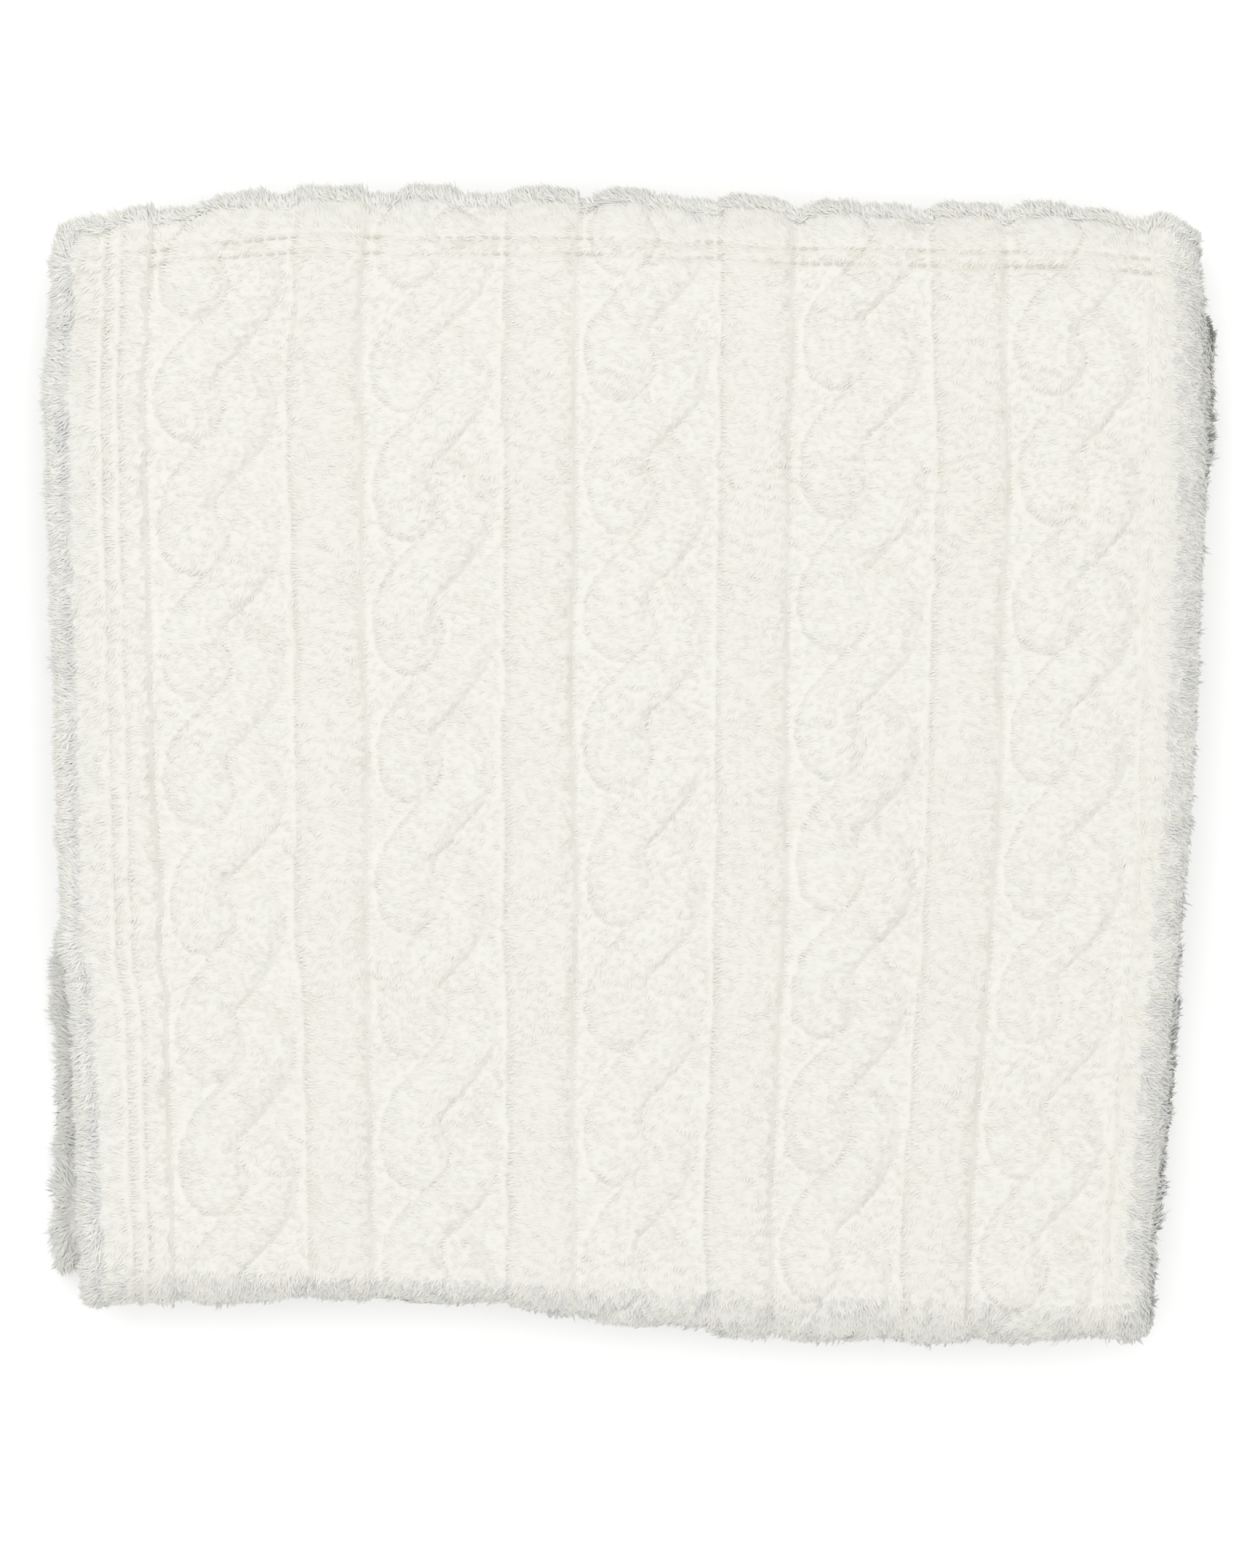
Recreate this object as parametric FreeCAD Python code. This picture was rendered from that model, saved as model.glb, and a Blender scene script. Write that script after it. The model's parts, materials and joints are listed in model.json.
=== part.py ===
"""Folded throw blanket: a plush face cloth and a smooth backing cloth, hemmed all round.

The throw is folded in half across its width, with the fold on the right and the plush outside,
and then in three along its length, as a zigzag. Each third is one panel of two plies. The bottom
panel lies on the floor, the far fold joins it to the middle panel, and the near fold joins that to
the top panel. +X is right, +Y is away from the near fold and +Z is up. The origin is on the
floor, in the middle of the folded throw. All lengths are in millimetres.
"""

import FreeCAD
import Part
import math
import os

from FreeCAD import Vector

# Overall size of the folded throw
FOLDED_WIDTH = 655.0
FOLDED_DEPTH = 650.0

# Cloth: the plush with its pile, and the smooth backing
FACE_THICKNESS = 8.4
BACKING_THICKNESS = 3.2
PLY_GAP = 0.4
PANEL_GAP = 0.4

# Hems: the cloth is turned under and sewn down with two rows of thread
SIDE_HEM_WIDTH = 40.0
END_HEM_WIDTH = 40.0
THREAD = 0.9
THREAD_CLEARANCE = 0.1
ROW_INSET = 3.0
ROW_SPACING = 9.0
ROWS = 2

# How unevenly the throw is folded: how far each line's left and right ends stand in from the
# folded throw's sides, and from its far or near side
TOP_END_INSET = (2.0, 5.0)
TOP_END_DROP = (0.0, 3.0)
FAR_FOLD_INSET = (33.0, 0.0)
FAR_FOLD_DROP = (24.0, 69.0)
NEAR_FOLD_INSET = (20.0, 34.0)
NEAR_FOLD_RISE = (23.0, 0.0)
BOTTOM_END_INSET = (0.0, 46.0)
BOTTOM_END_RISE = (42.0, 33.0)

# Worked out from the sizes above
PLY = FACE_THICKNESS + BACKING_THICKNESS
PANEL = 2 * PLY + PLY_GAP
SIDE_RADIUS = PANEL / 2
FOLD_RADIUS = PANEL + PANEL_GAP / 2
PANEL_STEP = PANEL + PANEL_GAP
GROOVE = THREAD + THREAD_CLEARANCE
HALF_TURN = 180.0
FAR = 1
NEAR = -1


def line_across(inset, offset, side):
    """The left and right ends of a line across the throw, on its far or near side."""
    half_width = FOLDED_WIDTH / 2
    half_depth = FOLDED_DEPTH / 2
    left = Vector(-half_width + inset[0], side * (half_depth - offset[0]), 0)
    right = Vector(half_width - inset[1], side * (half_depth - offset[1]), 0)
    return left, right


def inward(line, side, distance):
    """The same line, moved towards the middle of the throw, square to itself."""
    along = (line[1] - line[0]).normalize()
    outward = Vector(-along.y, along.x, 0) * side
    return line[0] - outward * distance, line[1] - outward * distance


TOP_END = line_across(TOP_END_INSET, TOP_END_DROP, FAR)
BOTTOM_END = line_across(BOTTOM_END_INSET, BOTTOM_END_RISE, NEAR)
FAR_FOLD = inward(line_across(FAR_FOLD_INSET, FAR_FOLD_DROP, FAR), FAR, FOLD_RADIUS)
NEAR_FOLD = inward(line_across(NEAR_FOLD_INSET, NEAR_FOLD_RISE, NEAR), NEAR, FOLD_RADIUS)
TOP_HEM = inward(TOP_END, FAR, END_HEM_WIDTH)
BOTTOM_HEM = inward(BOTTOM_END, NEAR, END_HEM_WIDTH)
BOTTOM_LINES = (FAR_FOLD, BOTTOM_HEM, BOTTOM_END)
MIDDLE_LINES = (FAR_FOLD, NEAR_FOLD)
TOP_LINES = (NEAR_FOLD, TOP_HEM, TOP_END)
SKINS = {
    "face": (0, FACE_THICKNESS),
    "backing": (FACE_THICKNESS, SIDE_RADIUS - PLY_GAP / 2),
}


def place(line, across, height):
    """The point at a distance across from the line's left end and at a height."""
    along = (line[1] - line[0]).normalize()
    point = line[0] + along * across
    return Vector(point.x, point.y, height)


def cloth_outline(line, base, outer, inner, start):
    """Corners of a cloth wrapped round the right-hand fold, between two depths in the panel.

    An arc is given by its middle point, so entries are (kind, point), in order round the shape.
    """
    width = (line[1] - line[0]).Length
    turn = width - SIDE_RADIUS
    top = base + PANEL
    middle = base + SIDE_RADIUS
    return [
        ("line", place(line, start, base + outer)),
        ("line", place(line, turn, base + outer)),
        ("arc", place(line, width - outer, middle)),
        ("line", place(line, turn, top - outer)),
        ("line", place(line, start, top - outer)),
        ("line", place(line, start, top - inner)),
        ("line", place(line, turn, top - inner)),
        ("arc", place(line, width - inner, middle)),
        ("line", place(line, turn, base + inner)),
        ("line", place(line, start, base + inner)),
    ]


def row_middles(hem_width):
    """Distances of the thread rows from the hem's edge."""
    return [hem_width - ROW_INSET - k * ROW_SPACING for k in range(ROWS)]


def hem_outline(line, base, outside):
    """A side hem's section: a rounded edge on the left and a groove for each thread row.

    outside is +1 when the plush faces up, as on an upper ply, and -1 when it faces down.
    """
    outer = base + PANEL if outside > 0 else base
    inner = outer - outside * PLY
    middle = (outer + inner) / 2
    edge_radius = PLY / 2
    corners = [
        ("line", place(line, SIDE_HEM_WIDTH, inner)),
        ("line", place(line, edge_radius, inner)),
        ("arc", place(line, 0, middle)),
        ("line", place(line, edge_radius, outer)),
    ]
    for row in reversed(row_middles(SIDE_HEM_WIDTH)):
        for across, depth in ((-1, 0), (-1, 1), (1, 1), (1, 0)):
            height = outer - outside * depth * GROOVE
            corners.append(("line", place(line, row + across * GROOVE / 2, height)))
    corners.append(("line", place(line, SIDE_HEM_WIDTH, outer)))
    return corners


def thread_outline(line, base, outside, row):
    """The section of one thread row, lying on the bottom of its groove."""
    outer = base + PANEL if outside > 0 else base
    floor = outer - outside * GROOVE
    crown = floor + outside * THREAD
    half = THREAD / 2
    return [
        ("line", place(line, row - half, floor)),
        ("line", place(line, row + half, floor)),
        ("line", place(line, row + half, crown)),
        ("line", place(line, row - half, crown)),
    ]


def edges_of(corners):
    """The edges round a section, with an arc wherever a middle point is given."""
    edges = []
    count = len(corners)
    index = 0
    while index < count:
        start = corners[index][1]
        kind, point = corners[(index + 1) % count]
        if kind == "arc":
            end = corners[(index + 2) % count][1]
            edges.append(Part.Arc(start, point, end).toShape())
            index += 2
        else:
            edges.append(Part.LineSegment(start, point).toShape())
            index += 1
    return edges


def side_face(edge, partner):
    """The face between an edge of one section and the same edge of the next."""
    if len(edge.Vertexes) == 2 and isinstance(edge.Curve, Part.Line):
        points = [v.Point for v in edge.Vertexes] + [v.Point for v in reversed(partner.Vertexes)]
        return Part.Face(Part.makePolygon(points + points[:1]))
    return Part.makeRuledSurface(edge, partner)


def stretch(outlines):
    """A solid with straight sides from each outline to the next."""
    sections = [edges_of(corners) for corners in outlines]
    faces = [Part.Face(Part.Wire(sections[0])), Part.Face(Part.Wire(sections[-1]))]
    for section, following in zip(sections, sections[1:]):
        faces += [side_face(edge, partner) for edge, partner in zip(section, following)]
    shell = Part.makeShell(faces)
    shell.sewShape()
    solid = Part.Solid(shell)
    if solid.Volume < 0:
        solid.reverse()
    return solid


def bend(corners, line, base, side):
    """An outline below a fold, carried half a turn round the fold's axis to the panel above."""
    axis_height = base + PANEL + PANEL_GAP / 2
    axis_point = Vector(line[0].x, line[0].y, axis_height)
    along = (line[1] - line[0]).normalize() * side
    face = Part.Face(Part.Wire(edges_of(corners)))
    return face.revolve(axis_point, along, HALF_TURN)


def panel_cloths(prefix, lines, base):
    """The face and backing cloths of one panel, between two lines across it."""
    for skin, (outer, inner) in SKINS.items():
        outlines = [cloth_outline(line, base, outer, inner, SIDE_HEM_WIDTH) for line in lines]
        yield f"{prefix}_{skin}", stretch(outlines)


def panel_side_hems(prefix, lines, base):
    """The two side hems of one panel, one on each ply, with their thread rows."""
    for ply, outside in (("upper", 1), ("lower", -1)):
        yield f"{prefix}_{ply}_side_hem", stretch([hem_outline(line, base, outside) for line in lines])
        rows = [
            stretch([thread_outline(line, base, outside, row) for line in lines])
            for row in row_middles(SIDE_HEM_WIDTH)
        ]
        yield f"{prefix}_{ply}_side_stitching", Part.makeCompound(rows)


def end_hem(prefix, hem_line, end_line, base):
    """The hem across a panel's free end, round both plies, with its thread rows."""

    def wrapped(outer, inner, near_edge, far_edge):
        """A cloth round the fold, between two distances from the free end."""
        outlines = []
        for distance in (near_edge, far_edge):
            share = distance / END_HEM_WIDTH
            line = [end + (hem - end) * share for hem, end in zip(hem_line, end_line)]
            outlines.append(cloth_outline(line, base, outer, inner, SIDE_HEM_WIDTH))
        return stretch(outlines)

    half_groove = GROOVE / 2
    half_thread = THREAD / 2
    middles = row_middles(END_HEM_WIDTH)
    edges = [END_HEM_WIDTH]
    for row in middles:
        edges += [row + half_groove, row - half_groove]
    edges.append(0)
    inner = SIDE_RADIUS - PLY_GAP / 2
    slices = []
    for index in range(len(edges) - 1):
        depth = GROOVE if index % 2 else 0
        slices.append(wrapped(depth, inner, edges[index], edges[index + 1]))
    rows = [wrapped(THREAD_CLEARANCE, GROOVE, row + half_thread, row - half_thread) for row in middles]
    yield f"{prefix}_end_hem", slices[0].fuse(slices[1:])
    yield f"{prefix}_end_stitching", Part.makeCompound(rows)


def fold(prefix, line, base, side):
    """Everything that bends round a fold, from the panel below it to the panel above it."""
    for skin, (outer, inner) in SKINS.items():
        corners = cloth_outline(line, base, outer, inner, SIDE_HEM_WIDTH)
        yield f"{prefix}_{skin}", bend(corners, line, base, side)
    for ply, outside in (("inner", 1), ("outer", -1)):
        yield f"{prefix}_{ply}_side_hem", bend(hem_outline(line, base, outside), line, base, side)
        rows = [
            bend(thread_outline(line, base, outside, row), line, base, side)
            for row in row_middles(SIDE_HEM_WIDTH)
        ]
        yield f"{prefix}_{ply}_side_stitching", Part.makeCompound(rows)


def throw():
    """Every piece of the folded throw, as (name, shape)."""
    middle_base = PANEL_STEP
    top_base = 2 * PANEL_STEP
    yield from panel_cloths("bottom_panel", BOTTOM_LINES[:2], 0)
    yield from panel_side_hems("bottom_panel", BOTTOM_LINES, 0)
    yield from end_hem("bottom_panel", BOTTOM_HEM, BOTTOM_END, 0)
    yield from fold("far_fold", FAR_FOLD, 0, FAR)
    yield from panel_cloths("middle_panel", MIDDLE_LINES, middle_base)
    yield from panel_side_hems("middle_panel", MIDDLE_LINES, middle_base)
    yield from fold("near_fold", NEAR_FOLD, middle_base, NEAR)
    yield from panel_cloths("top_panel", TOP_LINES[:2], top_base)
    yield from panel_side_hems("top_panel", TOP_LINES, top_base)
    yield from end_hem("top_panel", TOP_HEM, TOP_END, top_base)


def thirds_length():
    """The throw's finished length, along the middle of its width and of its thickness."""

    def middle(line):
        return (line[0] + line[1]) * 0.5

    ends = [BOTTOM_END, FAR_FOLD, NEAR_FOLD, TOP_END]
    flat = sum((middle(b) - middle(a)).Length for a, b in zip(ends, ends[1:]))
    return flat + 2 * math.pi * FOLD_RADIUS / 2


os.makedirs("parts", exist_ok=True)
for name, shape in throw():
    shape.exportStep(f"parts/{name}.step")

lines = (TOP_END, NEAR_FOLD, FAR_FOLD, BOTTOM_END)
panel_width = sum((right - left).Length for left, right in lines) / len(lines)
print(f"finished length about {thirds_length():.0f} mm")
print(f"finished width about {2 * (panel_width - SIDE_RADIUS) + math.pi * SIDE_RADIUS:.0f} mm")
for label, line, level in (("far fold", FAR_FOLD, 1), ("near fold", NEAR_FOLD, 2)):
    height = level * PANEL_STEP - PANEL_GAP / 2
    ends = " to ".join(f"({p.x:.7f}, {p.y:.7f})" for p in line)
    print(f"{label} axis: {ends} at height {height:.3f}")
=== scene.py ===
"""Looks of the folded throw blanket: plush cloth carved with cable columns, hemmed all round.

Each panel of the folded throw has two plies. Every ply is one sheet of cloth, with its hems, the
two halves of its bend, its thread and its pile as separate pieces. A ply is a grid over two
distances along the cloth, in millimetres: q from its left edge towards the side fold, and w from
the start of its panel.
"""

import json
import math

import bpy
import numpy as np
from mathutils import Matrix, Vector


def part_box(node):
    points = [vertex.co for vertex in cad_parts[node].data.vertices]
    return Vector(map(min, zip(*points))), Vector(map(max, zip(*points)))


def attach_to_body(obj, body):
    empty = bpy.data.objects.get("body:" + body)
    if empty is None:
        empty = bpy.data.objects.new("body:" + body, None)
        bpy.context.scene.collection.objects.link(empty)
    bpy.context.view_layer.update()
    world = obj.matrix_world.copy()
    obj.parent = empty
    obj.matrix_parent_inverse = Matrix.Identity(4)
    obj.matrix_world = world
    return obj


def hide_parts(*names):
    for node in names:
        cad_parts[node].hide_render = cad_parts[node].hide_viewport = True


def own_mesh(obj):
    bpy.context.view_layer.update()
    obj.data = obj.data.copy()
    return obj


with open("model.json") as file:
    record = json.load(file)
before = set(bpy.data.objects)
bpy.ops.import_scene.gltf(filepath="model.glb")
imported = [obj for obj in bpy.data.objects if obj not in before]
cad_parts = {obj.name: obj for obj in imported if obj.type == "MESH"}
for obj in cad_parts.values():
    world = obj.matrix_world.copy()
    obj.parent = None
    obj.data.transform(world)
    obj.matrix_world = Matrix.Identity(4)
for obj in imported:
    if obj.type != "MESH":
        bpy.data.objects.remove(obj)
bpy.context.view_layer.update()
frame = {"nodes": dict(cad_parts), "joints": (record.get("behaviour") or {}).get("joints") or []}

MM = 0.001

# Cloth, as in the CAD part
PLY = 11.6
PANEL = 23.6
PANEL_STEP = 24.0
SIDE_RADIUS = 11.8
HEM = 40.0
STITCH_ROWS = (37.0, 28.0)
EDGE_RADIUS = 5.8
RIM = 0.2
# How much the pattern notches the edges, against its depth on the flat, and how far in
SIDE_NOTCH, SIDE_NOTCH_REACH = 1.2, 18
END_NOTCH, END_NOTCH_REACH = 2.0, 26
RAGGED_EDGE = 1.3
# The distance from the free end, for a ply that has none
NO_END = 999.0
FLOOR_GAP = 0.2

# Carved pattern, across the whole width of the open throw
CLOTH_WIDTH = 1255.0
HALF_WIDTH = CLOTH_WIDTH / 2
FIRST_GROOVE = 51.0
CABLE_WIDTH = 78.5
COLUMN_PITCH = 115.8
COLUMNS = 10
CABLE_PITCH = 72.6
# Distance from the top end to the first crossing of each cable
FIRST_CROSSING = (84.0, 65.0, 58.0, 48.0, 48.0, 60.0, 30.0, 75.0, 50.0, 20.0)
# A stroke of a cable, from its round end, which lies over the next stroke, up to the end hidden
# under the one before: across the column, along it, and half the stroke's width
STROKE = (
    (-13.5, 0.0, 18.5),
    (-16.5, -13.4, 16.5),
    (-12.5, -28.7, 14.0),
    (1.9, -45.8, 14.0),
    (14.0, -63.0, 15.5),
    (16.5, -78.3, 16.0),
    (9.0, -91.7, 15.0),
)
STROKE_STEPS = 3
# From the place where a stroke crosses the middle of its column to its round end
STROKE_LEAD = 44.0
# How far a stroke goes down towards its hidden end, and how many strokes can reach one point
STROKE_DROP = 1.6
STROKES_NEAR = 3
STROKE_DOME = 3.0
DOME_POWER = 2.4
# How wide the line between two strokes and the line round them are, as differences of height
OVERLAP_LINE = 0.8
OUTLINE = 0.9
OUTLINE_SHARE = 0.55

# Depths below the highest tips of the plush, and half the width of the narrow ones
GROUND_DEPTH = 3.1
MARGIN_DEPTH = 0.9
RIB_DEPTH = 0.5
RIB_CROWN = 1.4
LINE_DEPTH = 1.1
GROOVE_DEPTH = 0.9
GROOVE_HALF = 2.2
GROOVE_REACH = 8
STITCH_DEPTH = 1.3
STITCH_HALF = 1.7
CLUMP_DEPTH = 0.3
FINE_CLUMP_DEPTH = 0.2
RUMPLE_DEPTH = 1.3
WRINKLE_DEPTH = 0.6
HIGHEST, DEEPEST = -1.0, 7.8
# How much painted shade each of them puts into the cloth's colour in its grooves, lines between
# strokes, stitch furrows and wrinkles, from 0 to 1, and how much darker the plain ribs are
GROOVE_SHADE = 0.42
LINE_SHADE = 0.62
STITCH_SHADE = 0.45
WRINKLE_SHADE = 0.32
RIB_TONE = 0.1

# Stitches of the hem thread
THREAD_DEPTH = 1.7
THREAD_RADIUS = 0.5
STITCH_PITCH = 6.4
STITCH_LENGTH = 4.6
STITCH_SINK = 1.1
STITCH_RINGS = 5
STITCH_SIDES = 6
# The thread of a side hem starts this far from the end of the cloth
THREAD_START = 12.0

# The two halves of a bend end this far from its middle, and are this thick there
BEND_GAP = 0.2
BEND_TIP = 1.5
# The pattern of an inner bend fades out over this distance
INNER_FADE = 12

# Mesh spacing
FINE = 1.6
COARSE = 2.8
INNER_STEP = 4
RIM_STEPS = 8


# ---------------------------------------------------------------- helpers
def mix(a, b, share):
    return a + (b - a) * share


def ramp(x, low, high):
    """0 below low, 1 above high and smooth between."""
    t = np.clip((x - low) / (high - low), 0, 1)
    return t * t * (3 - 2 * t)


def bell(x, half):
    return np.exp(-((x / half) ** 2))


def noise(u, v, step_u, step_v, seed):
    """Smooth seeded noise from -1 to 1, with cells of step_u by step_v millimetres."""
    size = 512
    table = np.random.default_rng(seed).uniform(-1, 1, (size, size))
    x, y = np.asarray(u) / step_u, np.asarray(v) / step_v
    i, j = np.floor(x).astype(int), np.floor(y).astype(int)
    a, b = x - i, y - j
    a, b = a * a * (3 - 2 * a), b * b * (3 - 2 * b)
    i, j, k, m = i % size, j % size, (i + 1) % size, (j + 1) % size
    low = table[i, j] * (1 - a) + table[k, j] * a
    high = table[i, m] * (1 - a) + table[k, m] * a
    return low * (1 - b) + high * b


# ---------------------------------------------------------------- carved relief
def stroke_line():
    """Close points along a stroke's centre line, with half its width at each."""
    points = np.array(STROKE)
    ends = np.concatenate([[2 * points[0] - points[1]], points, [2 * points[-1] - points[-2]]])
    line = []
    for a, b, c, d in zip(ends, ends[1:], ends[2:], ends[3:]):
        for t in np.arange(STROKE_STEPS) / STROKE_STEPS:
            bend = (3 * (b - c) + d - a) * t**3 + (2 * a - 5 * b + 4 * c - d) * t**2
            line.append(b + ((c - a) * t + bend) / 2)
    return np.array([*line, points[-1]])


def cable(du, v, end):
    """Height of a cable of overlapping strokes, and how near each point is to a line between."""
    line = stroke_line()
    phase = np.mod(v - end, CABLE_PITCH)
    heights = []
    for turns in range(STROKES_NEAR):
        dv = phase - turns * CABLE_PITCH
        nearest = np.full(dv.shape, np.inf)
        place = np.zeros(dv.shape)
        for k, (low, high) in enumerate(zip(line, line[1:])):
            span = high[:2] - low[:2]
            t = ((du - low[0]) * span[0] + (dv - low[1]) * span[1]) / (span @ span)
            t = np.clip(t, 0, 1)
            off = np.hypot(du - low[0] - span[0] * t, dv - low[1] - span[1] * t)
            off = off / mix(low[2], high[2], t)
            closer = off < nearest
            nearest = np.where(closer, off, nearest)
            place = np.where(closer, (k + t) / (len(line) - 1), place)
        dome = STROKE_DOME * (np.sqrt(np.clip(1 - nearest**DOME_POWER, 0, 1)) - 1)
        under = STROKE_DROP * ramp(place, 0.55, 1.0)
        heights.append(np.where(nearest < 1, dome - under, -2 * GROUND_DEPTH))
    heights = np.sort(heights, axis=0)
    top, second = heights[-1], heights[-2]
    both = second > -GROUND_DEPTH - STROKE_DROP
    between = np.where(both, bell(top - second, OVERLAP_LINE), 0)
    rim = OUTLINE_SHARE * bell(top + GROUND_DEPTH, OUTLINE) * (top > -2 * GROUND_DEPTH)
    return np.maximum(top, -GROUND_DEPTH), np.maximum(between, rim)


def relief(u, v, from_end):
    """Depth of the plush below its highest tips, and its painted crease shade from 0 to 1: how much
    its colour is darkened in grooves, lines, stitch furrows and wrinkles, plus a slightly darker
    tone on the ribs.
    """
    # columns of cable with plain ribs between, in a plain margin
    wander = 1.8 * noise(u, v, 55, 80, 11) + 1.0 * noise(u, v, 14, 20, 12)
    x = u + wander
    column = np.clip(np.floor((x - FIRST_GROOVE) / COLUMN_PITCH), 0, COLUMNS - 1).astype(int)
    local = x - FIRST_GROOVE - COLUMN_PITCH * column
    crossing = np.asarray(FIRST_CROSSING)[column]
    drift = 3.0 * noise(u, v, 90, 70, 13)
    height, line = cable(local - CABLE_WIDTH / 2, v + drift, crossing + STROKE_LEAD)
    rib_half = (COLUMN_PITCH - CABLE_WIDTH) / 2
    across = np.clip(np.abs(local - CABLE_WIDTH - rib_half) / rib_half, 0, 1)
    rib = -RIB_DEPTH - RIB_CROWN * across**4
    in_cable = (local >= 0) & (local < CABLE_WIDTH)
    height = np.where(in_cable, height, rib)
    line = np.where(in_cable, line, 0)
    last_groove = FIRST_GROOVE + COLUMN_PITCH * COLUMNS
    in_margin = (x < FIRST_GROOVE) | (x > last_groove)
    height = np.where(in_margin, -MARGIN_DEPTH, height)
    line = np.where(in_margin, 0, line)
    rib_tone = np.where(in_cable | in_margin, 0, RIB_TONE)
    # grooves beside the columns
    nearest = np.minimum(np.abs(local), np.abs(local - CABLE_WIDTH))
    nearest = np.minimum(nearest, np.abs(local - COLUMN_PITCH))
    beyond = (x < FIRST_GROOVE - GROOVE_REACH) | (x > last_groove + GROOVE_REACH)
    groove = np.where(beyond, 0, bell(nearest, GROOVE_HALF))
    strength = 0.75 + 0.35 * noise(u, v, 9, 13, 14)
    groove = groove * np.clip(0.62 + 0.55 * noise(u, v, 40, 19, 22), 0.15, 1)
    depth = -height + GROOVE_DEPTH * groove * strength + LINE_DEPTH * line * strength
    # furrows where the hem is sewn
    stitched = np.zeros_like(depth)
    side = np.minimum(u, CLOTH_WIDTH - u)
    sway = 1.2 * noise(u, v, 70, 30, 15)
    for row in STITCH_ROWS:
        stitched = np.maximum(stitched, bell(side - row + sway, STITCH_HALF))
        stitched = np.maximum(stitched, bell(from_end - row + sway * 1.6, STITCH_HALF))
    stitched = stitched * (1 - 0.8 * groove)
    depth = depth + STITCH_DEPTH * stitched * strength
    # clumps of pile
    clump = noise(u + v * 0.3, v - u * 0.25, 7, 3.2, 16)
    fine = noise(u + v * 0.3, v - u * 0.25, 4.5, 2.0, 17)
    depth = depth + CLUMP_DEPTH * clump + FINE_CLUMP_DEPTH * fine
    # a rumpled part, and wrinkles most of all on it
    rumpled = ramp(u, 330, 520) * ramp(v, 330, 500)
    rumpled = rumpled * (1 - ramp(v, 560, 625)) * (1 - ramp(u, 600, 650))
    depth = depth + RUMPLE_DEPTH * rumpled * noise(u, v, 32, 36, 24)
    crumple = np.maximum(ramp(noise(u, v, 120, 90, 18), 0.0, 0.6), 0.9 * rumpled)
    bent_v = v + 7 * noise(u, v, 22, 26, 20)
    wrinkles = bell(noise(u, bent_v, 17, 6.5, 19), 0.17) * crumple
    wrinkles = wrinkles * ramp(noise(u, v, 13, 11, 21), -0.2, 0.5)
    depth = depth + WRINKLE_DEPTH * wrinkles
    # painted shade: darker colour in the grooves, the lines between strokes, the stitch furrows and
    # the wrinkles; the ribs get a slightly darker tone
    crease_shade = strength * (GROOVE_SHADE * groove + LINE_SHADE * line + STITCH_SHADE * stitched)
    crease_shade = np.clip(crease_shade + WRINKLE_SHADE * wrinkles + rib_tone, 0, 1)
    return np.clip(depth, HIGHEST, DEEPEST), crease_shade


# ---------------------------------------------------------------- where the lines of the throw lie
def corner(node, toward):
    """The corner of a CAD node farthest in a direction on the floor, in millimetres."""
    points = np.array([p.co for p in frame["nodes"][node].data.vertices])[:, :2]
    return points[np.argmax(points @ np.array(toward))] / MM


def fold_line(joint, inner_hem):
    """The left and right ends of a fold's axis, and its height, in millimetres."""
    found = [j for j in frame["joints"] if j["name"] == joint][0]
    middle = np.array(found["pos_m"]) / MM
    along = np.array(found["axis"])[:2]
    along = along * np.sign(along[0])
    half = (middle[0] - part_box(inner_hem)[0].x / MM) / along[0]
    return middle[:2] - along * half, middle[:2] + along * half, middle[2]


FAR_LEFT, FAR_RIGHT, FAR_HEIGHT = fold_line("far_fold_opens", "far_fold_inner_side_hem")
NEAR_LEFT, NEAR_RIGHT, NEAR_HEIGHT = fold_line("near_fold_opens", "near_fold_inner_side_hem")
TOP_END = (corner("top_panel_upper_side_hem", (-1, 1)), corner("top_panel_end_hem", (1, 1)))
BOTTOM_END = (
    corner("bottom_panel_lower_side_hem", (-1, -1)),
    corner("bottom_panel_end_hem", (1, -1)),
)
FAR_FOLD = (FAR_LEFT, FAR_RIGHT)
NEAR_FOLD = (NEAR_LEFT, NEAR_RIGHT)
STACK = 3 * PANEL_STEP
# How far the ply under the top one stands back from its side and its end
UNDER_PLY_BACK = (5.0, 9.0)
BACK_REACH = 120
# The stack is thinner round its edges, by this share, over this distance
EDGE_SINK = 0.2
EDGE_REACH = 48.0
# The stack's outline as straight lines: how far out each is, and how much it slants
LEFT_OUT, LEFT_SLANT = 325, 0.03
RIGHT_OUT, RIGHT_SLANT = 322, 0.045
FAR_OUT = 322
NEAR_OUT, NEAR_SLANT = 314, 0.037
SLANT_FROM = 325
STACK_LEFT, STACK_WIDTH = -300, 620
# Where the top end starts to hang over, how fast it droops, and how far that goes on
OVERHANG = 16
DROOP = 0.0021
DROOP_REACH = 90


def curve(x, knots):
    """A smooth curve through given (place, value) knots."""
    places, values = zip(*knots)
    x = np.clip(x, places[0], places[-1])
    i = np.clip(np.searchsorted(places, x, side="right") - 1, 0, len(places) - 2)
    places, values = np.array(places), np.array(values)
    t = (x - places[i]) / (places[i + 1] - places[i])
    return mix(values[i], values[i + 1], t * t * (3 - 2 * t))


# How far each panel's sides stand out from straight, by distance from the middle of the throw
TOP_LEFT_OUT = (
    (-325, 0), (-270, -1), (-140, 0), (-95, 5), (100, 5), (200, 5), (280, 0), (325, -3),
)
TOP_RIGHT_OUT = (
    (-325, -4), (-270, -6), (-170, -2), (-95, 2), (-20, 6), (130, 6), (260, 0), (325, -5),
)
UNDER_LEFT_OUT = (
    (-320, -6), (-256, 0), (-174, 1), (-128, 8), (-60, 3), (20, -4), (150, -3), (280, -6),
)
UNDER_RIGHT_OUT = ((-320, -3), (-150, 2), (50, -3), (200, 3), (280, -3))
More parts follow.
